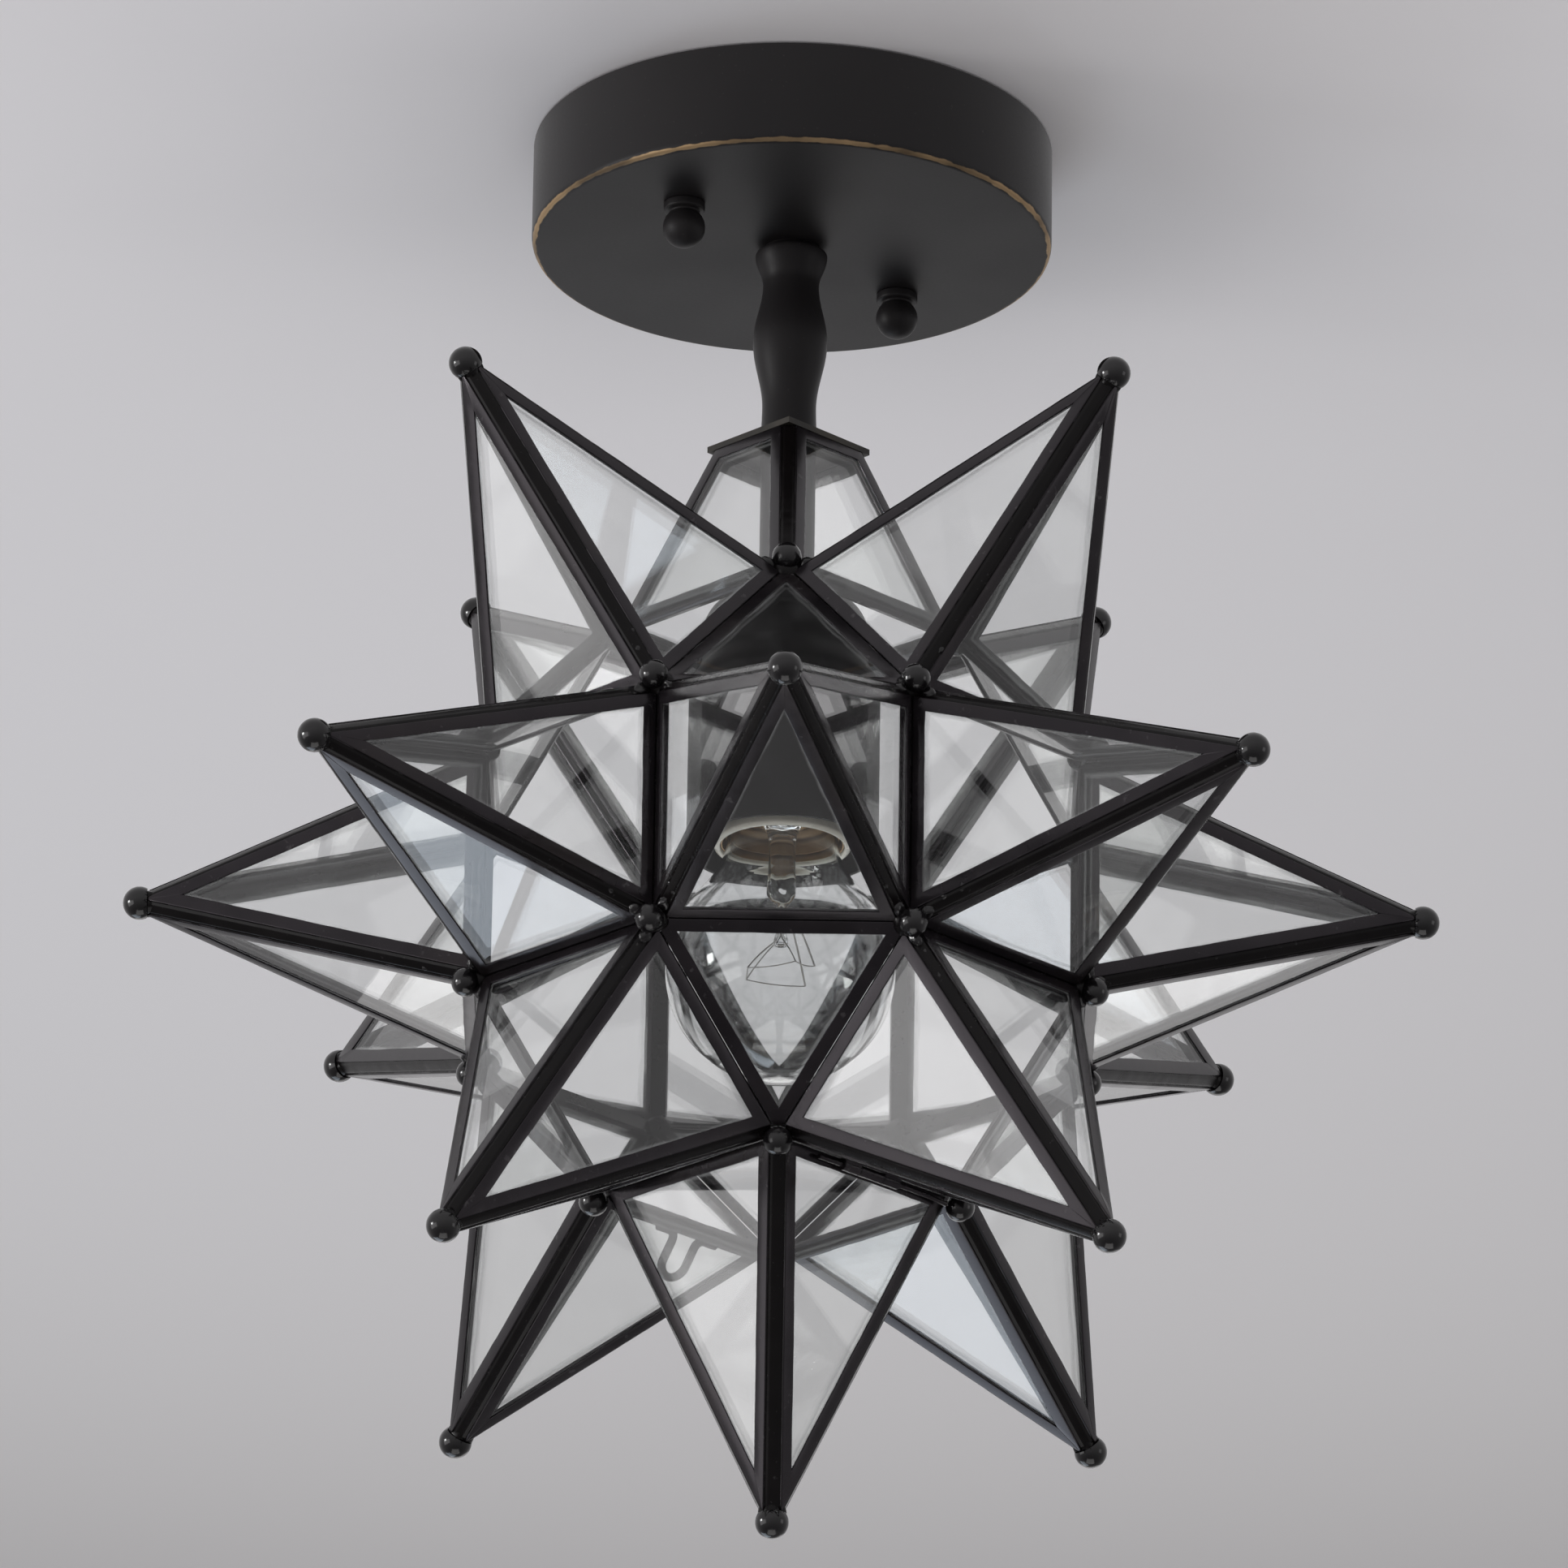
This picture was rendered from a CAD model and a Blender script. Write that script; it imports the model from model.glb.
from math import cos, radians, sin, sqrt, tan, pi

import bmesh
import bpy
import numpy as np
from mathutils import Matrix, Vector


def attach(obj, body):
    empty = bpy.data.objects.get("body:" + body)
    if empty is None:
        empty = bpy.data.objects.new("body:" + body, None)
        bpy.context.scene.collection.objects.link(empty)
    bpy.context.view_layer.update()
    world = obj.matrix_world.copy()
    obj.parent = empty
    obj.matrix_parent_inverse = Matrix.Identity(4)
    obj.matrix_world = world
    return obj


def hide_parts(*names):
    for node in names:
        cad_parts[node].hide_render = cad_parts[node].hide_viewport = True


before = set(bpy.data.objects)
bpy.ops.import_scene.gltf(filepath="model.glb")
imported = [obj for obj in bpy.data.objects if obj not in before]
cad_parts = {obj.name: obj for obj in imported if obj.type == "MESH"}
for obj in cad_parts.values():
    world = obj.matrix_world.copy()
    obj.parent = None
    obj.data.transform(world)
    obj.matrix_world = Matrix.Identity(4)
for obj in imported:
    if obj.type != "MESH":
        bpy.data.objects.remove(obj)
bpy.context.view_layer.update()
MM = 0.001

# The room is only a pale ceiling that the light hangs from and a soft, even light around it.
# The ceiling is seen from below, straight or through the bulb. It is clear from above, so that it
# never hides the light in a view from there, and clear to the light of the room.


class Signal:
    """A value inside a node tree. Sums, products and powers of it add Math nodes."""

    def __init__(self, tree, socket):
        self.tree, self.socket = tree, socket

    def maths(self, operation, *values, clamp=False):
        """A Math node on this value and the others."""
        node = self.tree.nodes.new("ShaderNodeMath")
        node.operation, node.use_clamp = operation, clamp
        for slot, value in zip(node.inputs, (self, *values)):
            plug(self.tree, slot, value)
        return Signal(self.tree, node.outputs[0])

    def __add__(self, other):
        return self.maths("ADD", other)

    def __mul__(self, other):
        return self.maths("MULTIPLY", other)

    def __sub__(self, other):
        return self.maths("SUBTRACT", other)

    def __rsub__(self, other):
        return self*-1 + other

    def __pow__(self, other):
        return self.maths("POWER", other)

    __radd__, __rmul__ = __add__, __mul__

    def above(self, low, high):
        """0 below low and 1 above high, with a straight climb between them, or the other way round
        where high is the lower number."""
        return ((self - low)*(1/(high - low))).maths("ADD", 0, clamp=True)


def plug(tree, slot, value):
    """Links a signal to a socket, or writes a number or colour on it."""
    if isinstance(value, Signal):
        tree.links.new(value.socket, slot)
    else:
        slot.default_value = (*value, 1) if slot.type == "RGBA" else value


class Finish:
    """A node tree under construction, with its surface shader."""

    def __init__(self, owner, shader, **numbers):
        owner.use_nodes = True
        self.owner, self.tree = owner, owner.node_tree
        self.tree.nodes.clear()
        kind = "World" if isinstance(owner, bpy.types.World) else "Material"
        self.output = self.tree.nodes.new(f"ShaderNodeOutput{kind}")
        self.shader = self.tree.nodes.new(f"ShaderNode{shader}")
        self.show(self.surface())
        self.set(**numbers)

    def surface(self):
        """The finish's own shader, before anything is blended with it."""
        return Signal(self.tree, self.shader.outputs[0])

    def set(self, **values):
        """Sets the shader's sockets, named with _ for a blank."""
        for name, value in values.items():
            plug(self.tree, self.shader.inputs[name.replace("_", " ")], value)

    def show(self, surface):
        """Makes a shader the one that is seen."""
        plug(self.tree, self.output.inputs["Surface"], surface)

    def add(self, kind, settings=(), values=(), output=0):
        """A node of any kind: its settings first, then the values or links of its sockets."""
        node = self.tree.nodes.new(f"ShaderNode{kind}")
        for name, value in dict(settings).items():
            setattr(node, name, value)
        for name, value in dict(values).items():
            plug(self.tree, node.inputs[name], value)
        return Signal(self.tree, node.outputs[output])

    def place(self):
        """Where a point of the surface is in the light's frame, in metres."""
        return self.add("TexCoord", output="Object")

    def parts(self, vector):
        """The x, y and z of a vector as separate signals."""
        split = self.add("SeparateXYZ", values={0: vector})
        return [Signal(self.tree, split.socket.node.outputs[i]) for i in range(3)]

    def noise(self, grain, detail=3):
        """Noise from 0 to 1 whose patches are about `grain` metres across."""
        return self.add("TexNoise", values={"Vector": self.place(), "Scale": 1/grain, "Detail": detail})

    def mix(self, share, first, second):
        """Colour `first` where share is 0 and `second` where it is 1."""
        return self.add("Mix", {"data_type": "RGBA"}, {0: share, 6: first, 7: second}, 2)

    def bump(self, height, depth):
        """Raises the surface by height, a signal from 0 to 1, times depth in metres."""
        self.set(Normal=self.add("Bump", values={"Height": height, "Distance": depth}))

    def blend(self, share, first, second):
        """Shows shader `first` where share is 0 and `second` where it is 1."""
        both = self.add("MixShader", values={0: share})
        for slot, shader in zip(list(both.socket.node.inputs)[1:], (first, second)):
            plug(self.tree, slot, shader)
        self.show(both)
        return both


scene = bpy.context.scene
scene.view_settings.view_transform = "Standard"
GLASS_LAYERS, BULB_TURNS = 64, 16
scene.cycles.transparent_max_bounces = GLASS_LAYERS
scene.cycles.max_bounces = scene.cycles.transmission_bounces = BULB_TURNS
CEILING = (0.585, 0.572, 0.585)
ROOM_ABOVE, ROOM_BELOW = (0.86, 0.847, 0.86), (0.255, 0.25, 0.255)

scene.world = bpy.data.worlds.new("room_light")
sky = Finish(scene.world, "Background", Strength=1.0)
LEFT_SIDE_GAIN = 0.25
sideways, _, upwards = sky.parts(sky.add("TexCoord", output="Generated"))
around = sky.mix(upwards.above(-0.8, 0.45)*(1 - sideways*LEFT_SIDE_GAIN), ROOM_BELOW, ROOM_ABOVE)
sky.set(Color=sky.mix(sky.add("LightPath", output="Is Camera Ray"), around, CEILING))

SIDE, BACK, LIFT = 6, 9, 0.0004
ceiling_corners = [(-SIDE, -SIDE, LIFT), (-SIDE, BACK, LIFT), (SIDE, BACK, LIFT), (SIDE, -SIDE, LIFT)]
ceiling_mesh = bpy.data.meshes.new("ceiling")
ceiling_mesh.from_pydata(ceiling_corners, [], [(0, 1, 2, 3)])
ceiling = bpy.data.objects.new("ceiling", ceiling_mesh)
scene.collection.objects.link(ceiling)
plaster = Finish(bpy.data.materials.new("ceiling_plaster"), "BsdfDiffuse")
backwards = plaster.parts(plaster.place())[1].above(-0.05, 1.3)
plaster.set(Color=plaster.mix(backwards, (0.8, 0.784, 0.796), (0.52, 0.508, 0.502)))
looked_at = (plaster.add("LightPath", output="Is Camera Ray")
             + plaster.add("LightPath", output="Is Transmission Ray"))
seen = looked_at*(1 - plaster.add("NewGeometry", output="Backfacing"))
plaster.blend(seen, plaster.add("BsdfTransparent"), plaster.surface())
ceiling_mesh.materials.append(plaster.owner)

# Six soft lamps stand in for the windows and the walls of the room, all turned to the star. Each
# line gives a lamp's name, its place, width and height in metres, its watts and its colour.

STAR = np.array([0, 0, -188.9])
for name, place, width, height, watts, colour in (
    ("lamp_left", (-1.449, -0.361, -0.137), 0.3, 0.24, 6.5, (1, 1, 1)),
    ("window_left", (-1.964, -0.916, -0.571), 1.8, 1.0, 10.8, (1, 0.985, 0.99)),
    ("window_right", (1.708, -0.555, -0.314), 0.6, 0.6, 1.2, (1, 0.99, 1)),
    ("window_low", (-0.365, 0.686, -0.967), 0.55, 0.55, 2.2, (0.78, 0.88, 1)),
    ("room_behind", (0.05, 1.02, -0.6), 0.85, 0.5, 1.15, (1, 0.985, 0.98)),
    ("room_below", (0, 0.1, -2.4), 1.6, 1.6, 12, (1, 0.98, 0.97)),
):
    lamp = bpy.data.lights.new(name, "AREA")
    lamp.shape, lamp.size, lamp.size_y = "RECTANGLE", width, height
    lamp.energy, lamp.color = watts, colour
    stand = bpy.data.objects.new(name, lamp)
    stand.location = place
    aim = Vector(STAR*MM) - stand.location
    stand.rotation_euler = aim.to_track_quat("-Z", "Y").to_euler()
    scene.collection.objects.link(stand)

# The camera stands in front of the light and looks up at it. It looks along `ahead` at the star's
# middle, and is then panned and dipped to bring that middle to its place in the picture.

camera = bpy.data.objects.new("camera", bpy.data.cameras.new("camera"))
scene.collection.objects.link(camera)
scene.camera = camera
PIXELS, FOCUS, STAR_PIXEL, EYE_DISTANCE = 1932, 15563.0, (962.66, 1125.0), 2.854
camera.data.sensor_width, camera.data.lens = 36, 36*FOCUS/PIXELS
camera.data.clip_start, camera.data.clip_end = 0.1, 30
climb, roll = radians(21.340), radians(-0.889)
ahead = np.array([0, cos(climb), sin(climb)])
eye = STAR*MM - EYE_DISTANCE*ahead
view_axes = np.array([[1, 0, 0], [0, -sin(climb), cos(climb)], ahead])
aside = np.array([[cos(roll), -sin(roll), 0], [sin(roll), cos(roll), 0], [0, 0, 1]])
star_x, star_y = [(at - PIXELS/2)/FOCUS for at in STAR_PIXEL]
pan = np.array([[cos(star_x), 0, sin(star_x)], [0, 1, 0], [-sin(star_x), 0, cos(star_x)]])
dip = np.array([[1, 0, 0], [0, cos(star_y), -sin(star_y)], [0, sin(star_y), cos(star_y)]])
right, upward, forward = pan @ dip @ aside @ view_axes
rows = [[*row, at] for row, at in zip(np.stack([right, upward, -forward], 1), eye)]
camera.matrix_world = Matrix(rows + [[0, 0, 0, 1]])

# The crossbar is zinc-plated steel, punched from strip and screwed to the outlet box.
# Its studs, their lock nuts, the rod and the rod's nuts have the same bright plating.


def dress(material, *names):
    """Gives each named CAD node its finish."""
    for name in names:
        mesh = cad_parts[name].data
        mesh.materials.clear()
        mesh.materials.append(material)


def new_finish(name, **numbers):
    """A material whose own shader is the Principled one."""
    return Finish(bpy.data.materials.new(name), "BsdfPrincipled", **numbers)


zinc = new_finish("zinc_plate", Metallic=1.0, IOR=1.5)
spangle = zinc.noise(0.004)
zinc.set(Base_Color=zinc.mix(spangle, (0.42, 0.42, 0.43), (0.66, 0.66, 0.68)),
         Roughness=spangle*0.25 + 0.28)
zinc.bump(zinc.noise(0.0006), 0.00002)
dress(zinc.owner, "crossbar", "stud_nuts", "rod_nuts")

THREAD_PITCH = 0.00094
threaded = new_finish("zinc_thread", Metallic=1.0, Base_Color=(0.55, 0.55, 0.57))
level = threaded.parts(threaded.place())[2]
ridges = (level*(2*pi/THREAD_PITCH)).maths("SINE")*0.5 + 0.5
threaded.set(Roughness=ridges*0.2 + 0.3)
threaded.bump(ridges, 0.0002)
dress(threaded.owner, "threaded_rod", "canopy_studs")

# The ground screw is steel, plated green so that it is told from the others, and is driven into
# a tapped hole in the crossbar.

green = new_finish("green_zinc", Metallic=0.6)
green.set(Base_Color=green.mix(green.noise(0.002), (0.03, 0.2, 0.06), (0.06, 0.33, 0.12)),
          Roughness=green.noise(0.001)*0.2 + 0.3)
dress(green.owner, "ground_screw")

# Two leads run through the rod from the ceiling to the socket. Each is stranded copper in a black
# plastic covering.

rubber = new_finish("lead_covering")
rubber.set(Base_Color=rubber.mix(rubber.noise(0.003), (0.012, 0.012, 0.013), (0.03, 0.03, 0.032)),
           Roughness=rubber.noise(0.001)*0.15 + 0.5)
dress(rubber.owner, "lead_wires")

# The canopy is a pan spun from 0.8 mm steel and painted satin black with a brown cast.
# Along the bend at its lower edge the black is rubbed through to an antique gold line.


def rounded(corners, reach, steps=4):
    """Closed outline with its corners eased.

    Each corner C becomes the parabola (1-s)^2 A + 2 s (1-s) C + s^2 B, where A and B lie at
    `reach` from C towards its two neighbours."""
    corners = np.asarray(corners, float)
    reach = np.broadcast_to(np.asarray(reach, float), len(corners))[:, None]
    ends = [np.roll(corners, shift, 0) - corners for shift in (1, -1)]
    lengths = [np.maximum(np.linalg.norm(end, axis=1, keepdims=True), 1e-9) for end in ends]
    before, after = [corners + reach*end/length for end, length in zip(ends, lengths)]
    s = np.linspace(0, 1, steps + 1)[None, :, None]
    curve = (1 - s)**2*before[:, None] + 2*s*(1 - s)*corners[:, None] + s**2*after[:, None]
    return curve.reshape(-1, 2)


def grid_faces(rows, columns, wrap_rows, wrap_columns):
    """Quads between neighbouring points of a grid, numbered row by row."""
    counts = rows - (not wrap_rows), columns - (not wrap_columns)
    r, c = np.meshgrid(*map(np.arange, counts), indexing="ij")
    r1, c1 = (r + 1) % rows, (c + 1) % columns
    corners = [r*columns + c, r*columns + c1, r1*columns + c1, r1*columns + c]
    return np.stack(corners, -1).reshape(-1, 4)


def turned(outline, segments=128, wobble=None):
    """Surface of revolution: the point (r, z) of a closed outline goes to (r cos t, r sin t, z).
    wobble(r, z, t) may change the radius as the outline goes round."""
    t = np.linspace(0, 2*pi, segments, endpoint=False)[None]
    r, z = np.asarray(outline, float)[:, :1], np.asarray(outline, float)[:, 1:]
    r = r + 0*t if wobble is None else wobble(r, z, t)
    points = np.stack([r*np.cos(t), r*np.sin(t), z + 0*t], -1).reshape(-1, 3)
    return points, grid_faces(len(outline), segments, True, True)


def build(name, shapes, material, body, instead_of=(), crease=40, marks=None):
    """Makes one piece from several closed shapes, each an array of points in mm and one of faces,
    and rides it on a body. Edges sharper than `crease` degrees stay sharp."""
    starts = np.cumsum([0] + [len(points) for points, _ in shapes])
    points = np.concatenate([points for points, _ in shapes])*MM
    faces = [(np.asarray(f) + start).tolist() for (_, fs), start in zip(shapes, starts) for f in fs]
    mesh = bpy.data.meshes.new(name)
    mesh.from_pydata(points.tolist(), [], faces)
    if marks is not None:
        mesh.attributes.new("edge_distance", "FLOAT", "POINT").data.foreach_set("value", marks)
    shell = bmesh.new()
    shell.from_mesh(mesh)
    bmesh.ops.remove_doubles(shell, verts=shell.verts, dist=1e-7)
    bmesh.ops.dissolve_degenerate(shell, edges=shell.edges, dist=1e-8)
    bmesh.ops.recalc_face_normals(shell, faces=shell.faces)
    shell.to_mesh(mesh)
    shell.free()
    mesh.shade_smooth()
    mesh.set_sharp_from_angle(angle=radians(crease))
    mesh.materials.append(material)
    piece = bpy.data.objects.new(name, mesh)
    scene.collection.objects.link(piece)
    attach(piece, body)
    if instead_of:
        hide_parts(*instead_of)


CANOPY_R, CANOPY_H, CANOPY_T = 60.0, 24.5, 0.8
ROD_HOLE_R, OUTER_BEND, INNER_BEND, EASE = 4.9, 1.9, 1.1, 0.25
inner_r, inner_level = CANOPY_R - CANOPY_T, -CANOPY_H + CANOPY_T
canopy_outline = rounded([[ROD_HOLE_R, -CANOPY_H], [CANOPY_R, -CANOPY_H], [CANOPY_R, 0], [inner_r, 0],
                          [inner_r, inner_level], [ROD_HOLE_R, inner_level]],
                         [0, OUTER_BEND, EASE, EASE, INNER_BEND, 0], 8)


def painted(name):
    """Satin black paint whose tone drifts in soft clouds, with fine pale specks of dust in it."""
    paint = new_finish(name, IOR=1.5, Specular_IOR_Level=0.14)
    speckle, cloud = paint.noise(0.0007, 2), paint.noise(0.03, 4)
    tone = paint.mix(cloud, (0.010, 0.009, 0.0096), (0.0153, 0.0138, 0.0144))
    tone = paint.mix(speckle.above(0.70, 0.78)*0.2, tone, (0.1, 0.095, 0.09))
    paint.set(Base_Color=tone, Roughness=cloud*0.12 + speckle*0.08 + 0.37)
    paint.bump(speckle, 0.000006)
    return paint, tone, cloud


black, _, _ = painted("black_paint")
rubbed, tone, cloud = painted("black_paint_rubbed_gold")
BEND_OUT, BEND_LEVEL, INNER_EDGE = 0.0594, -0.0240, 0.0585
x, y, level = rubbed.parts(rubbed.place())
out = (x*x + y*y).maths("SQRT")
from_bend = ((out - BEND_OUT)**2 + (level - BEND_LEVEL)**2).maths("SQRT")
gold = (from_bend + (rubbed.noise(0.004, 6) - 0.5)*0.0011).above(0.00066, 0.00042)
gold = gold*(cloud.above(0.35, 0.5)*0.7 + 0.3)*out.above(INNER_EDGE, INNER_EDGE + 0.0003)
rubbed.set(Base_Color=rubbed.mix(gold, tone, (0.34, 0.235, 0.13)), Metallic=gold*0.7)
build("canopy_pan", [turned(canopy_outline, 192)], rubbed.owner, "fixture", ["canopy"])

# Two cap nuts of turned steel, each a ball on a short collar, screw up on the studs and hold
# the canopy against the ceiling. They have the canopy's paint.

STUD_REACH = 69.85/2/sqrt(2)
CAP_R, CAP_SINK, COLLAR_R, COLLAR_H, NECK_R, NECK_H = 4.85, 0.8, 4.75, 2.0, 3.4, 3.4
SEAT = -CANOPY_H - 0.05
ball_turn = np.linspace(-pi/2, pi/2, 25)
cap_ball = np.stack([CAP_R*np.cos(ball_turn), CAP_R*np.sin(ball_turn)], 1)
cap_ball[:, 1] += -CANOPY_H - COLLAR_H - CAP_R + CAP_SINK
collar_foot = -CANOPY_H - COLLAR_H
neck = rounded([[0, -CANOPY_H - NECK_H], [NECK_R, -CANOPY_H - NECK_H], [NECK_R, collar_foot - 0.2],
                [COLLAR_R, collar_foot], [COLLAR_R, SEAT], [0, SEAT]],
               [0, 0, 0.4, 0.5, 0.3, 0])
caps = [(points + [side*STUD_REACH, side*STUD_REACH, 0], faces)
        for side in (-1, 1) for points, faces in (turned(cap_ball, 48), turned(neck, 48))]
build("cap_nut_pair", caps, black.owner, "fixture", ["cap_nuts"])

# The stem is turned from brass rod, bored for the threaded rod and painted like the canopy.
# Its radius swings in half cosine waves between a lip, two necks and a belly. Each pair in STEM
# is a depth under the canopy and the radius there.

STEM = np.array([[0, 6.4], [1.9, 8.3], [9.4, 6.45], [23.5, 8.55], [40, 6.2], [50, 6.5]])


def swing(stations, step):
    """Radius at depth: between two stations it goes from one radius to the other as a half cosine."""
    depth = np.arange(stations[0, 0], stations[-1, 0] + step/2, step)
    i = np.clip(np.searchsorted(stations[:, 0], depth, "right") - 1, 0, len(stations) - 2)
    (z0, r0), (z1, r1) = stations[i].T, stations[i + 1].T
    return np.stack([r0 + (r1 - r0)*(1 - np.cos(pi*(depth - z0)/(z1 - z0)))/2, -depth], 1)


stem_side = swing(STEM, 0.4) - [0, CANOPY_H]
stem_foot = -CANOPY_H - STEM[-1, 0]
stem_outline = np.concatenate([[[ROD_HOLE_R, -CANOPY_H]], stem_side, [[ROD_HOLE_R, stem_foot]]])
build("turned_stem", [turned(stem_outline, 96)], black.owner, "fixture", ["stem"])

# The top plate is a square of sheet brass soldered over the cut-off pyramid. Its dark bronze
# patina is mottled by the heat and flux of the soldering round the stem.

patina = new_finish("mottled_bronze", Metallic=0.2, IOR=1.5, Specular_IOR_Level=0.3)
mottle, fine = patina.noise(0.008, 5), patina.noise(0.0015, 3)
x, y, _ = patina.parts(patina.place())
stain = ((x*x + y*y).maths("SQRT") + mottle*0.004).above(0.0125, 0.0105)
shade = patina.mix(mottle.above(0.35, 0.65), (0.014, 0.0125, 0.0105), (0.04, 0.034, 0.026))
patina.set(Base_Color=patina.mix(stain*fine*0.6, shade, (0.07, 0.062, 0.05)),
           Roughness=mottle*0.3 + 0.35)
patina.bump(fine, 0.00008)
dress(patina.owner, "top_plate")

# Inside the pyramid a tube hides the rod, and the socket cover hangs under it: a deep bell of
# spun steel with a round shoulder and a slow flare, painted black inside and out.

dress(black.owner, "down_tube")
STAR_Z = STAR[2]
CUP_TOP, CUP_RIM, CUP_T = 76.5, 15.3, 0.8
ROUND_R, WAIST_R, RIM_R = 9.0, 19.0, 21.8
FLARE_TOP, FLARE_LOW = 61.5, 53.5


def cup_side(inset):
    """Outline of the bell from its top to its rim: a quarter circle, a half cosine and a straight."""
    turn = np.linspace(pi/2, 0, 13)
    r = ROUND_R - inset
    shoulder = np.stack([WAIST_R - ROUND_R + r*np.cos(turn), CUP_TOP - ROUND_R + r*np.sin(turn)], 1)
    flare = swing(np.array([[-FLARE_TOP, WAIST_R - inset], [-FLARE_LOW, RIM_R - inset]]), 0.5)
    return np.concatenate([shoulder, flare, [[RIM_R - inset, CUP_RIM + 0.3], [RIM_R - inset, CUP_RIM]]])


bell = np.concatenate([[[ROD_HOLE_R, CUP_TOP]], cup_side(0),
                       cup_side(CUP_T)[::-1], [[ROD_HOLE_R, CUP_TOP - CUP_T]]])
build("socket_bell", [turned(bell + [0, STAR_Z], 128)], black.owner, "fixture", ["socket_cup"])

# The socket is cream glazed porcelain with a rolled brass screw shell. Its brass cap carries it
# on the rod, and a leaf at the bottom of the shell meets the bulb's contact.

cream = new_finish("cream_porcelain", IOR=1.55, Coat_Weight=0.4, Coat_Roughness=0.08)
bloom = cream.noise(0.006, 4)
cream.set(Base_Color=cream.mix(bloom, (0.66, 0.62, 0.53), (0.75, 0.72, 0.64)),
          Roughness=bloom*0.15 + 0.2)
cream.bump(cream.noise(0.002, 2), 0.00003)
SOCKET_R, SOCKET_RIM, SOCKET_TOP = 15.65, 15.5, 61.0
MOUTH_R, MOUTH_H, CONE_W, CONE_H = 14.1, 31.0, 5, 12
socket_outline = rounded(
    [[MOUTH_R, SOCKET_RIM + 0.3], [14.7, SOCKET_RIM], [SOCKET_R, SOCKET_RIM + 0.6],
     [SOCKET_R, SOCKET_TOP - CONE_H], [SOCKET_R - CONE_W, SOCKET_TOP], [0, SOCKET_TOP],
     [0, SOCKET_RIM + MOUTH_H], [MOUTH_R, SOCKET_RIM + MOUTH_H]],
    [0.2, 0.3, 0.5, 2, 1.5, 0, 0, 0.3])
build("porcelain_socket", [turned(socket_outline + [0, STAR_Z], 96)], cream.owner, "fixture",
      ["socket_body"])

brass = new_finish("old_brass", Metallic=1.0)
tarnish = brass.noise(0.004, 4)
brass.set(Base_Color=brass.mix(tarnish, (0.36, 0.22, 0.11), (0.62, 0.43, 0.24)),
          Roughness=tarnish*0.3 + 0.22)
brass.bump(brass.noise(0.001), 0.00002)
SCREW_PITCH, RUN_OUT = 3.63, 1.5


def rolled(depth, low, high):
    """Wobble of a rolled thread: the radius swings by `depth` along a screw of one pitch a turn,
    and not at all below low or above high. It fades over RUN_OUT."""
    def wobble(r, z, t):
        fade = np.clip((z - low)/RUN_OUT, 0, 1)*np.clip((high - z)/RUN_OUT, 0, 1)
        return r + depth*fade*np.sin(2*pi*z/SCREW_PITCH + t)
    return wobble


SHELL_TOP, SHELL_IN, SHELL_OUT, SHELL_HOLE = SOCKET_RIM + MOUTH_H - 0.1, 13.68, 13.9, 5.5
shell_z = np.linspace(SOCKET_RIM + 1, SHELL_TOP - 0.5, 90)
inside, outside = [np.stack([0*shell_z + r, shell_z], 1) for r in (SHELL_IN, SHELL_OUT)]
shell_floor = [[SHELL_OUT, SHELL_TOP], [SHELL_HOLE, SHELL_TOP], [SHELL_HOLE, SHELL_TOP - 0.4]]
shell_outline = np.concatenate([outside, shell_floor, inside[::-1]])
build("screw_shell", [turned(shell_outline + [0, STAR_Z], 72,
                             rolled(0.16, STAR_Z + SOCKET_RIM + 2, STAR_Z + SHELL_TOP - 3))],
      brass.owner, "fixture", ["socket_shell"])
dress(brass.owner, "socket_cap", "socket_contact")

# The bulb is a clear globe on a rolled brass screw cap, with a black glass button and a lead
# contact. A glass press stem holds the hooks that carry the filament in a wreath.

BULB_R, BULB_DROP, CAP_EDGE, BULB_T, THROAT_R = 26.0, 14.0, 18.0, 0.9, 12.7
SHOULDER_TURN = radians(42)


def globe_side(inset):
    """Outline of the globe from its lower pole: an arc, then a cubic that leaves the arc along its
    tangent and reaches the neck level."""
    r, throat = BULB_R - inset, THROAT_R - inset
    arc = np.linspace(-pi/2, SHOULDER_TURN, 40)
    side = np.stack([r*np.cos(arc), r*np.sin(arc) - BULB_DROP], 1)
    run = CAP_EDGE - 0.5 - side[-1, 1]
    s = np.linspace(0, 1, 20)[1:]
    radius = side[-1, 0]*(2*s**3 - 3*s**2 + 1) + throat*(3*s**2 - 2*s**3)
    radius -= run*tan(SHOULDER_TURN)*s*(1 - s)**2
    return np.concatenate([side, np.stack([radius, side[-1, 1] + run*s], 1), [[throat, CAP_EDGE + 7]]])


clear = new_finish("bulb_clear_glass", Base_Color=(0.98, 0.99, 0.99), Transmission_Weight=1.0,
                   IOR=1.45, Roughness=0.0)
lets_light_in = clear.add("LightPath", output="Is Shadow Ray")
clear.blend(lets_light_in, clear.surface(),
            clear.add("BsdfTransparent", values={"Color": (0.93, 0.94, 0.94)}))
globe = np.concatenate([globe_side(0), globe_side(BULB_T)[::-1]])
build("bulb_globe", [turned(globe + [0, STAR_Z], 96)], clear.owner, "bulb", ["bulb_glass"])
press = rounded([[0, -8], [1.5, -8], [1.7, -6.6], [1.1, -5], [1.1, 1], [2.7, 4], [2.9, 11], [3.0, 17],
                 [3.8, 20], [11.6, 24], [11.6, 24.8], [10.8, 24.8], [3, 20.8], [0, 19.5]],
                [0, 0.5, 0.6, 0.6, 1, 1, 2, 1, 1, 0.3, 0.3, 0.3, 1, 0])
PINCH_Z, PINCH_H = STAR_Z + 6, 4


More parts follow.
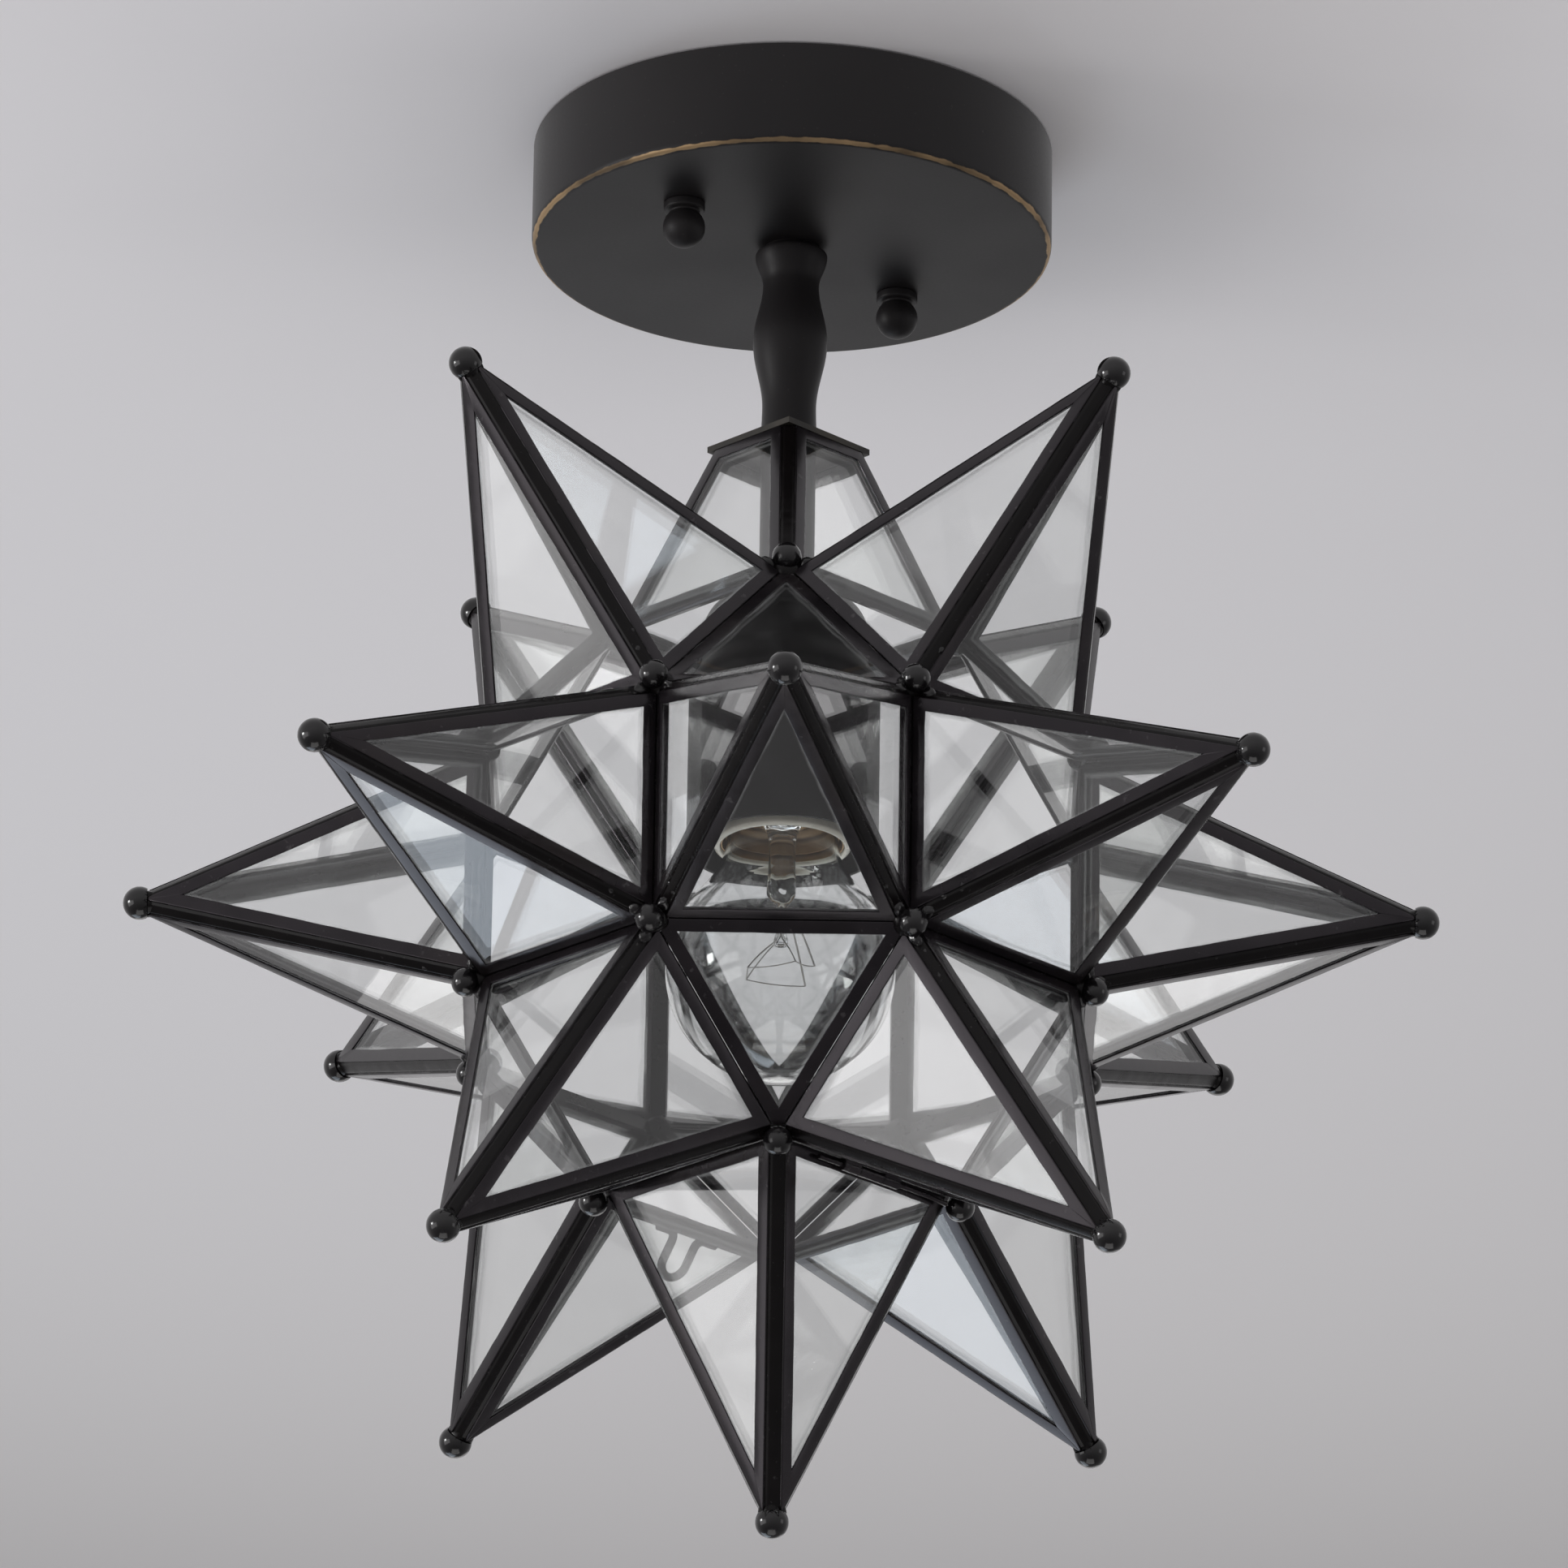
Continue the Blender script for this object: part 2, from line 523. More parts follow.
def pinch(r, z, t):
    """Flattens the stem where it was pressed and ripples it a little: the radius swings with cos 2t
    and sin 5t, by a share that falls off as a bell curve above and below PINCH_Z."""
    pressed = np.exp(-((z - PINCH_Z)/PINCH_H)**2)
    return r*(1 + pressed*(0.24*np.cos(2*t) + 0.05*np.sin(5*t + 1.1*z)))


build("press_stem", [turned(press + [0, STAR_Z], 48, pinch)], clear.owner, "bulb", ["bulb_mount"])

CAP_OUT_R, CAP_IN_R, BUTTON_R = 12.8, 12.393, 6.5
THREAD_H, CAP_TOP, CAP_FLOOR = 17.5, CAP_EDGE + 20, CAP_EDGE + 19.65
cap_z = np.linspace(CAP_EDGE, CAP_EDGE + THREAD_H, 70)
cap_out, cap_in = [np.stack([0*cap_z + r, cap_z], 1) for r in (CAP_OUT_R, CAP_IN_R)]
cap_crown = [[10.6, CAP_TOP], [BUTTON_R, CAP_TOP], [BUTTON_R, CAP_FLOOR], [10.2, CAP_FLOOR]]
cap_wall = np.concatenate([cap_out, cap_crown, cap_in[::-1]])
build("bulb_screw_cap", [turned(cap_wall + [0, STAR_Z], 72,
                                rolled(0.28, STAR_Z + CAP_EDGE + 2.5, STAR_Z + CAP_EDGE + 17))],
      brass.owner, "bulb", ["bulb_cap"])
button = new_finish("black_button_glass", IOR=1.5)
button.set(Base_Color=button.mix(button.noise(0.003), (0.004, 0.004, 0.006), (0.012, 0.012, 0.015)),
           Roughness=button.noise(0.001)*0.1 + 0.08)
dress(button.owner, "bulb_insulator")
dress(zinc.owner, "bulb_contact")


def closed_tube(rings, sides):
    """Quads of a tube of rings, with one face at each end."""
    last = (rings - 1)*sides
    ends = [list(range(sides)), list(range(last, last + sides))]
    return grid_faces(rings, sides, False, True).tolist() + ends


def tube(path, radius, side, sides=10):
    """Round wire along a path: at each point the circle radius (n cos t + b sin t), where n is the
    tangent crossed with the fixed direction `side` and b is n crossed with the tangent."""
    path, side = np.asarray(path, float), np.asarray(side, float)
    along = np.gradient(path, axis=0)
    along /= np.linalg.norm(along, axis=1, keepdims=True)
    n = np.cross(along, side)
    n /= np.linalg.norm(n, axis=1, keepdims=True)
    b = np.cross(n, along)
    t = np.linspace(0, 2*pi, sides, endpoint=False)[None, :, None]
    radius = np.broadcast_to(radius, len(path))[:, None, None]
    rings = path[:, None] + radius*(n[:, None]*np.cos(t) + b[:, None]*np.sin(t))
    return rings.reshape(-1, 3), closed_tube(len(path), sides)


def bent(first, knee, last):
    """Points of the parabola (1-s)^2 first + 2 s (1-s) knee + s^2 last."""
    s = np.linspace(0, 1, 25)[:, None]
    return (1 - s)**2*first + 2*s*(1 - s)*knee + s**2*last


WREATH_R, WREATH_Z, SAG = 8.2, -15.0, 0.9
STRAND_R, HOOK_R, LEAD_R = 0.14, 0.17, 0.22
hook_turn = np.radians([46, 160, 206, 294, 340])
hook_lift = np.array([-0.4, -0.2, 0.3, 0.5, 1.2])[:, None]
outwards = np.stack([np.cos(hook_turn), np.sin(hook_turn), 0*hook_turn], 1)
hooks = outwards*WREATH_R + hook_lift*[0, 0, 1] + [0, 0, WREATH_Z]
strands = [tube(bent(first, (first + last)/2 - [0, 0, SAG], last) + STAR, STRAND_R, [0, 0, 1], 6)
           for first, last in zip(hooks[:-1], hooks[1:])]
for i, (hook, outward) in enumerate(zip(hooks, outwards)):
    if i in (0, len(hooks) - 1):
        root, bow, wire_r = outward*2.3 + [0, 0, 1.0], 0.4, LEAD_R
    else:
        root, bow, wire_r = outward*0.9 + [0, 0, -6.7], 0.9, HOOK_R
    span = bent(root, (root + hook)/2 + outward*bow, hook)
    strands.append(tube(span + STAR, wire_r, [-outward[1], outward[0], 0], 6))
tungsten = new_finish("bare_tungsten", Metallic=1.0)
tungsten.set(Base_Color=tungsten.mix(tungsten.noise(0.002), (0.3, 0.29, 0.28), (0.55, 0.53, 0.5)),
             Roughness=tungsten.noise(0.0005)*0.2 + 0.3)
build("wreath_filament", strands, tungsten.owner, "bulb", ["bulb_filament"])

# Every pane of the star sits in its own channel, folded from 0.4 mm brass strip and blackened.
# The strip is bent by hand, so the edge of each flange wanders a little along the glass. CORE is
# the core's edge, PLANE how far its square faces lie out, POINT_H how far a point stands out of one.

CORE = 56.5
PLANE = CORE*(1 + sqrt(2))/2
RIDGES_MEET = 152
POINT_H = RIDGES_MEET - PLANE
FACE_TILT, RIDGE_TILT = np.arctan(CORE/2/POINT_H), np.arctan(CORE/sqrt(2)/POINT_H)
SLANT = np.hypot(POINT_H, CORE/2)
HALF_ANGLE = np.arctan(CORE/2/SLANT)
RIDGE_HALF = pi/2 - np.arccos(np.sin(FACE_TILT)**2)/2
STRIP, FRAME_T, FLANGE, LIP, GAP = 0.4, 2.4, 3.0, 1.3, 0.05
EDGE = FRAME_T/tan(RIDGE_HALF) + 0.25
TIP_REACH, TIP_SEAT, PLATE = 145.0, 1.8, 113
TIP = TIP_REACH - TIP_SEAT
FRAME_TOP = (TIP - GAP - PLANE)/cos(FACE_TILT)
FRUSTUM_TOP = (PLATE - GAP - PLANE)/cos(FACE_TILT)
UPPER = [(45 + 90*i, 45) for i in range(4)]
BELT = [(45*i - 90, 0) for i in range(8)]
LOWER = [(45 + 90*i, -45) for i in range(4)]
STEM_SIDE, DOOR = (45, 90), (45, -90)


def turn_about(axis, angle):
    """Rotation matrix about x, y or z, by an angle in radians."""
    i, j = [(1, 2), (2, 0), (0, 1)]["xyz".index(axis)]
    matrix = np.eye(3)
    matrix[i, i] = matrix[j, j] = cos(angle)
    matrix[i, j], matrix[j, i] = -sin(angle), sin(angle)
    return matrix


def at_point(points, place, turn=0):
    """From one point's own frame, with z along its axis, to the light's frame."""
    azimuth, climb = place
    aim = turn_about("z", radians(azimuth)) @ turn_about("y", radians(90 - climb))
    return points @ (aim @ turn_about("z", radians(turn))).T + STAR


def on_face(points):
    """From a pane's frame, with x along its base, y up its slope and z outwards, to its point's."""
    spin = turn_about("y", -FACE_TILT) @ turn_about("z", pi/2) @ turn_about("x", pi/2)
    return points @ spin.T + [CORE/2, 0, PLANE]


def pane_corners(low, high, edge):
    """The four corners of a pane's outline when it is drawn in by an inset. The upper two meet on
    the middle line where the slopes cross."""
    def corners(inset):
        reach = (edge + inset)/cos(HALF_ANGLE)
        y0, y1 = low + inset, np.minimum(high - inset, SLANT*(1 - reach/(CORE/2)))
        x0, x1 = CORE/2*(1 - y0/SLANT) - reach, np.maximum(CORE/2*(1 - y1/SLANT) - reach, 0)
        return np.stack([np.stack(p, -1) for p in ((-x0, y0), (x0, y0), (x1, y1), (-x1, y1))], -2)
    return corners


def wander(count, seed, waves=(2, 5, 11, 17, 29, 41)):
    """Smooth noise round a closed line: sines of whole wave numbers with phases from the seed."""
    waves = np.array(waves, float)
    phase = np.random.default_rng(seed).uniform(0, 2*pi, len(waves))
    t = np.linspace(0, 2*pi, count, endpoint=False)[:, None]
    return (np.sin(t*waves + phase)*waves**-0.4).sum(1)/1.6


CHANNEL = rounded([[FLANGE, -STRIP], [FLANGE, 0], [0, 0], [0, -FRAME_T], [LIP, -FRAME_T],
                   [LIP, STRIP - FRAME_T], [STRIP, STRIP - FRAME_T], [STRIP, -STRIP]],
                  [0.1, 0.14, 0.34, 0.3, 0.14, 0.1, 0, 0], 4)
STRAY = 0.13, 0.03


def channel(corners, seed, steps=22):
    """A channel strip round a pane: each point (inset, depth) of its section follows the outline
    drawn in by that inset. Towards the flange's lip both wander, by up to the two lengths in STRAY."""
    sides = corners(np.zeros(1)).shape[-2]
    k = np.arange(sides*steps)
    side, t = k//steps, (k % steps)/steps
    lip = (CHANNEL[:, :1]/FLANGE)**2
    inset = CHANNEL[:, :1] + STRAY[0]*lip*wander(len(k), seed)
    depth = CHANNEL[:, 1:] + STRAY[1]*lip*wander(len(k), seed + 1)*(CHANNEL[:, 1:] > -FRAME_T/2)
    ends = corners(inset)
    xy = ends[:, k, side] + (ends[:, k, (side + 1) % sides] - ends[:, k, side])*t[None, :, None]
    points = np.concatenate([xy, depth[..., None]], -1).reshape(-1, 3)
    return points, grid_faces(len(CHANNEL), len(k), True, True)


def point_channels(place, low, high, edge, seed):
    """The four channels of one point, a quarter turn apart."""
    shapes = []
    for turn in range(4):
        points, faces = channel(pane_corners(low, high, edge), seed + 10*turn)
        shapes.append((at_point(on_face(points), place, 90*turn), faces))
    return shapes


came = new_finish("blackened_came", IOR=1.5, Specular_IOR_Level=0.28, Specular_Tint=(1, 0.93, 1))
cloud, scuff, grain = came.noise(0.012, 5), came.noise(0.0025, 4), came.noise(0.0006, 1)
tone = came.mix(cloud.above(0.35, 0.7), (0.005, 0.0042, 0.005), (0.012, 0.0102, 0.0115))
tone = came.mix(came.noise(0.03, 2).above(0.55, 0.7)*0.5, tone, (0.014, 0.011, 0.0095))
came.set(Base_Color=came.mix(scuff.above(0.66, 0.74)*0.3, tone, (0.09, 0.086, 0.088)),
         Roughness=cloud*0.16 + scuff*0.1 + 0.08)
came.bump(came.noise(0.003, 1)*0.8 + grain*0.05, 0.00002)
RINGS = (("upper", UPPER), ("belt", BELT), ("lower", LOWER))
for ring, places in RINGS:
    for i, place in enumerate(places, 1):
        channels = point_channels(place, GAP, FRAME_TOP, EDGE, 1000*len(ring) + 100*i)
        build(f"{ring}_point_{i}_cames", channels, came.owner, "fixture", [f"{ring}_point_{i}_frames"])
build("cut_off_pyramid_cames", point_channels(STEM_SIDE, GAP, FRUSTUM_TOP, EDGE, 50), came.owner,
      "fixture", ["frustum_frames"])

# Eight flat triangles close the star between the points. Their corners are cut off short of the
# balls, and their cames are the same channel.

TRIANGLE_PLANE = CORE*(3 + sqrt(2))/2/sqrt(3)
TRIANGLES = [(90*i, up) for i in range(4) for up in (1, -1)]
CORNER_CUT = 2.2


def triangle_corners(inset):
    """Six corners: a point at `side` from the middle and `half` along each edge, both ways."""
    side = CORE/2/sqrt(3) - GAP - inset
    half = np.minimum((CORE/sqrt(3) - CORNER_CUT - inset - side/2)/sin(pi/3), side*tan(pi/3))
    ends = [np.stack([side*cos(angle) - way*half*sin(angle), side*sin(angle) + way*half*cos(angle)], -1)
            for angle in (0, 2*pi/3, 4*pi/3) for way in (-1, 1)]
    return np.stack(ends, -2)


def at_triangle(points, place):
    """From a triangle's frame, with z outwards, to the light's frame."""
    azimuth, up = place
    lift = up*np.arctan(1/sqrt(2))
    spin = turn_about("z", radians(azimuth)) @ turn_about("y", pi/2 - lift)
    return (points @ turn_about("z", 0 if up > 0 else pi).T + [0, 0, TRIANGLE_PLANE]) @ spin.T + STAR


triangle_channels = []
for i, place in enumerate(TRIANGLES):
    points, faces = channel(triangle_corners, 7000 + 10*i, 11)
    triangle_channels.append((at_triangle(points, place), faces))
build("triangle_cames", triangle_channels, came.owner, "fixture", ["triangle_frames"])

# The panes are clear 1.5 mm window glass with a faint grey-green tint. Each face mirrors 4.2% of
# the room head on and all of it at the flattest slant, by the fifth power of the slant. Near the
# cames the glass keeps a haze of patina and putty that the cleaning left.

PANE_RINGS = np.array([0.45, 2.9, 3.25, 3.7, 4.5, 6.0, 8.5])
PANE_FRONT, PANE_BACK = -0.45, -1.95


def pane(corners):
    """A flat pane: rings of the outline at growing insets on the front, the same on the back, and
    how far each ring lies from the came."""
    ring = corners(PANE_RINGS)
    sides, count = ring.shape[1], len(PANE_RINGS)
    xy = np.concatenate([ring[::-1], ring])
    depth = np.repeat([PANE_FRONT, PANE_BACK], count)[:, None] + np.zeros(sides)
    points = np.concatenate([xy, depth[..., None]], -1).reshape(-1, 3)
    marks = np.repeat(np.concatenate([PANE_RINGS[::-1], PANE_RINGS]) - FLANGE, sides)*MM
    return points, closed_tube(2*count, sides), marks


glass = new_finish("pane_glass", Base_Color=(0.5, 0.51, 0.51), Roughness=0.5)
from_came = glass.add("Attribute", {"attribute_name": "edge_distance"}, output="Fac")
wave = glass.add("Bump", values={"Height": glass.noise(0.05, 1), "Distance": 0.00006})
smear = glass.noise(0.009, 5)
edge = from_came + (smear - 0.5)*0.0016
haze = edge.above(0.0006, 0.0)*edge.above(-0.0009, -0.0003)*0.25 + smear.above(0.5, 0.8)*0.02 + 0.005
mirror = glass.add("BsdfGlossy", values={"Roughness": 0.012, "Color": (1, 1, 1), "Normal": wave})
film = glass.add("BsdfTransparent", values={"Color": (0.988, 0.992, 0.989)})
sheen = glass.add("LayerWeight", values={"Blend": 0.5}, output="Facing")**5*0.96 + 0.042
reflects = glass.blend(sheen, film, mirror)
glass.blend(haze, reflects, glass.surface())


def build_panes(name, panes, body, node):
    """One piece from several panes, with every point's distance from its came kept for the haze."""
    marks = np.concatenate([marks for _, _, marks in panes])
    shapes = [(points, faces) for points, faces, _ in panes]
    build(name, shapes, glass.owner, body, [node], marks=marks)


def point_panes(places, low, high, edge):
    """The four panes of each point in the list."""
    points, faces, marks = pane(pane_corners(low, high, edge))
    return [(at_point(on_face(points), place, 90*turn), faces, marks)
            for place in places for turn in range(4)]


GLASS_SHORT_OF_TIP = 6
GLASS_TOP = FRAME_TOP - GLASS_SHORT_OF_TIP
for ring, places in RINGS:
    build_panes(f"{ring}_panes", point_panes(places, GAP, GLASS_TOP, EDGE), "fixture",
                f"{ring}_point_glass")
build_panes("cut_off_pyramid_panes", point_panes([STEM_SIDE], GAP, FRUSTUM_TOP, EDGE), "fixture",
            "frustum_glass")
points, faces, marks = pane(triangle_corners)
build_panes("triangle_panes", [(at_triangle(points, place), faces, marks) for place in TRIANGLES],
            "fixture", "triangle_glass")

# Black-patinated solder fills the notch along every ridge. It was drawn with an iron, so its
# face is flat but not quite even, and a fine groove shows along each fold of the cames. The
# solder in the notches behind the core's edges, valley_seams, has the same finish.

SUNK, CROWN, GROOVE_D, GROOVE_AT, GROOVE_W = 0.10, 0.12, 0.3, 0.8, 0.13


def ridge_solder(place, edge, start, plane, seed, steps=56):
    """A bead along each ridge: a crest that is raised in the middle, sunk in a groove beside each
    fold and wanders along the ridge, on a wedge that narrows to the bottom of the notch."""
    shapes = []
    recess, floor = edge*cos(RIDGE_HALF), FRAME_T*sin(RIDGE_HALF)
    low_u = max(-recess - floor, (0.15 - edge*sin(RIDGE_HALF))*tan(RIDGE_HALF) - recess)
    end = (plane - GAP - PLANE + recess*sin(RIDGE_TILT))/cos(RIDGE_TILT)
    across = np.linspace(-1, 1, 15)
    groove = np.exp(-((np.abs(across) - GROOVE_AT)/GROOVE_W)**2)
    t = np.linspace(start, end, steps)
    for turn in range(4):
        level = -recess - SUNK + 0.045*wander(steps, seed + turn)[:, None]*(1 - across**2)
        level += 0.05*across**8 + CROWN*(1 - across**2) - GROOVE_D*groove
        level += 0.03*wander(steps, seed + turn + 40, (7, 13, 19, 31))[:, None]*across
        half = edge*sin(RIDGE_HALF) - 0.03 + 0.03*wander(steps, seed + turn + 80)[:, None]
        crest = np.stack([level, half*across, t[:, None] + 0*level], -1)
        base = np.stack([np.full((steps, 2), low_u), np.tile([0.1, -0.1], (steps, 1)),
                         np.tile(t[:, None], (1, 2))], -1)
        section = np.concatenate([crest, base], 1)
        points = section.reshape(-1, 3) @ turn_about("y", -RIDGE_TILT).T + [CORE/sqrt(2), 0, PLANE]
        shapes.append((at_point(points, place, 45 + 90*turn), closed_tube(steps, section.shape[1])))
    return shapes


solder = new_finish("black_solder", IOR=1.5, Specular_IOR_Level=0.14)
pits, drift = solder.noise(0.0012, 4), solder.noise(0.009, 4)
tone = solder.mix(drift, (0.0012, 0.001, 0.0011), (0.0055, 0.0042, 0.0044))
solder.set(Base_Color=solder.mix(pits.above(0.68, 0.76)*0.35, tone, (0.06, 0.058, 0.06)),
           Roughness=drift*0.2 + pits*0.1 + 0.1)
solder.bump(solder.noise(0.007, 1), 0.00006)
for ring, places in RINGS:
    beads = [bead for i, place in enumerate(places)
             for bead in ridge_solder(place, EDGE, 1.0, TIP, 200*len(ring) + 7*i)]
    if ring == "upper":
        beads += ridge_solder(STEM_SIDE, EDGE, 1.0, PLATE, 3)
    build(f"{ring}_ridge_solder", beads, solder.owner, "fixture", [f"{ring}_seams"])
dress(solder.owner, "valley_seams")

# A steel ball covers each corner of the core, bedded in a lump of solder. The lump fills the
# hollow where the cames meet, except beside the door, which needs that room to swing. The two
# scales say how far out the balls and the lumps lie, as a share of the corner's distance.

BALL_R, BALL_SCALE, BED_R, BED_SCALE = 3.3, 1.02768, 3.3, 0.982
BALL_RINGS, BALL_SIDES = 17, 28
ball_faces = grid_faces(BALL_RINGS, BALL_SIDES, False, True)


def lumpy_ball(centre, radius, seed=None, rough=0.0):
    """Sphere r (cos p cos t, cos p sin t, sin p), its radius swelled by a few waves in t and p."""
    p = np.linspace(-pi/2, pi/2, BALL_RINGS)[:, None]
    t = np.linspace(0, 2*pi, BALL_SIDES, endpoint=False)[None]
    swell = 0
    if seed is not None:
        a, b, c = np.random.default_rng(seed).uniform(0, 2*pi, 3)
        swell = rough*(np.sin(3*t + a)*np.sin(2*p + b) + 0.6*np.sin(5*t + b)*np.cos(3*p + c))*np.cos(p)
    r = radius*(1 + swell)
    points = np.stack([r*np.cos(p)*np.cos(t), r*np.cos(p)*np.sin(t), r*np.sin(p) + 0*t], -1)
    return points.reshape(-1, 3) + centre, ball_faces


corner_list = [(CORE/sqrt(2), 90*i, up*PLANE) for i in range(4) for up in (1, -1)]
corner_list += [(CORE/2/sin(pi/8), 22.5 + 45*i, up*CORE/2) for i in range(8) for up in (1, -1)]
core_corners = np.array([[r*cos(radians(a)), r*sin(radians(a)), z] for r, a, z in corner_list])
lacquer = new_finish("black_ball_lacquer", IOR=1.5, Specular_IOR_Level=0.4)
tarnish, scuff = lacquer.noise(0.004, 4), lacquer.noise(0.0012, 3)
lacquer.set(Base_Color=lacquer.mix(tarnish, (0.003, 0.0027, 0.003), (0.008, 0.007, 0.0077)),
            Roughness=tarnish*0.12 + scuff.above(0.6, 0.75)*0.2 + 0.07)
lacquer.bump(tarnish*0.6 + scuff*0.4, 0.00004)
build("corner_balls", [lumpy_ball(c*BALL_SCALE + STAR, BALL_R) for c in core_corners], lacquer.owner,
      "fixture", ["joint_balls"], crease=180)
beds = [lumpy_ball(c*BED_SCALE + STAR, BED_R, 60 + i, 0.07)
        for i, c in enumerate(core_corners) if c[2] > -PLANE + 1]
build("corner_solder", beds, solder.owner, "fixture", crease=180)


def ridge_lumps(place, turn, seed):
    """Drops on one ridge: a flat lump against its ball and two small drops further up, where the
    iron was lifted. Each is a lumpy ball squeezed along u, the direction out of the ridge."""
    dice = np.random.default_rng(seed)
    recess = EDGE*cos(RIDGE_HALF)
    drops = [(3.3 + 0.6*dice.random(), 0.3*dice.normal(), 1.75, 1.0, 0.5)]
    drops += [(5 + 9*dice.random(), 0.9*dice.normal(), 0.4 + 0.3*dice.random(), 0.4, 0.2)
              for _ in range(2)]
    shapes = []
    for i, (t, v, radius, flat, sink) in enumerate(drops):
        points, faces = lumpy_ball(np.zeros(3), radius, seed + i, 0.12)
        points = points*[flat, 0.85, 1.25] + [-recess - sink, np.clip(v, -1.2, 1.2), t]
        points = points @ turn_about("y", -RIDGE_TILT).T + [CORE/sqrt(2), 0, PLANE]
        shapes.append((at_point(points, place, 45 + 90*turn), faces))
    return shapes


lumps, CLEAR_OF_DOOR = [], STAR_Z - PLANE + 4
for i, place in enumerate(UPPER + BELT + LOWER + [STEM_SIDE]):
    for turn in range(4):
        shapes = ridge_lumps(place, turn, 900 + 4*i + turn)
        if shapes[0][0][:, 2].min() > CLEAR_OF_DOOR:
            lumps += shapes
build("ridge_lumps", lumps, lacquer.owner, "fixture", crease=180)

# The tip balls sit on the flat ends of the cames, in a collar of solder that runs down the four
# ridges for a few millimetres.

TIP_R = 3.8


def tip_parts(place, seed):
    """A ball turned about the point's axis, and a collar whose radius wanders as it goes round."""
    turn = np.linspace(np.arcsin(-TIP_SEAT/TIP_R), pi/2, 22)
    ball = np.stack([TIP_R*np.cos(turn), TIP_R*np.sin(turn)], 1)
    ball = np.concatenate([[[0, -TIP_SEAT]], ball])
    top = -TIP_SEAT - 0.02
    collar = rounded([[0, top], [3.0, top], [2.95, -2.6], [2.55, -4.4], [0, -4.6]],
                     [0, 0.2, 0.4, 0.5, 0])
    a, b = np.random.default_rng(seed).uniform(0, 2*pi, 2)

    def lobed(r, z, t):
        return r*(1 + 0.06*np.cos(4*t - pi) + 0.04*np.sin(3*t + a) + 0.03*np.sin(7*t + b))

    return [(at_point(points + [0, 0, TIP_REACH], place), faces)
            for points, faces in (turned(ball, 48), turned(collar, 48, lobed))]


fixed_tips = [tip_parts(place, 300 + i) for i, place in enumerate(UPPER + BELT + LOWER)]
build("tip_ball_set", [ball for ball, _ in fixed_tips], lacquer.owner, "fixture", ["tip_balls"])
build("tip_solder", [collar for _, collar in fixed_tips], solder.owner, "fixture",
      crease=60)

# The bottom point is the relamping door. It is made like the other points, but it is a quarter
# of a millimetre smaller all round, so that it can swing out of the core. Beads of solder fill
# the edges that it closes against, and its own edge beside the hinge.

DOOR_GAP, BEAD_END = 0.25, 4
build("door_cames", point_channels(DOOR, DOOR_GAP/2, FRAME_TOP, EDGE + DOOR_GAP, 9000), came.owner,
      "door", ["door_frames"])
build_panes("door_panes", point_panes([DOOR], DOOR_GAP, GLASS_TOP, EDGE + DOOR_GAP), "door",
            "door_glass")
build("door_ridge_solder", ridge_solder(DOOR, EDGE + DOOR_GAP, 3.0, TIP, 77), solder.owner, "door",
      ["door_seams"])


def edge_bead(place, turn, own, other, fold, seed, steps=40):
    """A bead of solder along a core edge, behind the corner where a frame's web starts. Its section
    is a set of steps along the web's direction and the neighbour's, and it wavers along the edge."""
    y = np.linspace(-CORE/2 + BEAD_END, CORE/2 - BEAD_END, steps)[:, None]
    section = fold[:, :1]*own + fold[:, 1:]*other
    swell = 1 + 0.06*wander(steps, seed)[:, None]
    x, z = CORE/2 + section[:, 0]*swell, PLANE + section[:, 1]*swell
    points = np.stack([x, np.broadcast_to(y, x.shape), z], -1).reshape(-1, 3)
    return at_point(points, place, turn), closed_tube(steps, len(fold))


WEB = np.array([-cos(FACE_TILT), -sin(FACE_TILT)])
NEXT_WEB = np.array([cos(pi/4 + FACE_TILT), -sin(pi/4 + FACE_TILT)])
DOOR_FOLD = np.array([[0.3, 0.02], [2.0, 0.02], [1.4, 1.1], [0.5, 1.25], [0.3, 0.6]])
STOP_FOLD = np.array([[0.3, 0.02], [1.2, 0.02], [1.1, 1.4], [0.1, 2.0], [0.08, 1.0], [0.1, 0.3]])
HINGE_SIDE = (315, -45)
stops = [edge_bead(place, 0, WEB, NEXT_WEB, STOP_FOLD, 500 + i)
         for i, place in enumerate(LOWER) if place != HINGE_SIDE]
build("door_stop_solder", stops, solder.owner, "fixture", crease=60)
build("hinge_side_solder", [edge_bead(DOOR, 270, WEB, NEXT_WEB, DOOR_FOLD, 510)], solder.owner, "door",
      crease=60)
door_ball, door_collar = tip_parts(DOOR, 400)
build("door_ball", [door_ball], lacquer.owner, "door", ["door_tip_ball"])
build("door_ball_solder", [door_collar], solder.owner, "door", crease=60)

# The hinge is a loose wire through short knuckles in the front-right valley, with one end bent so
# that it can't slip out. A bent wire loop on the opposite edge is the finger pull.

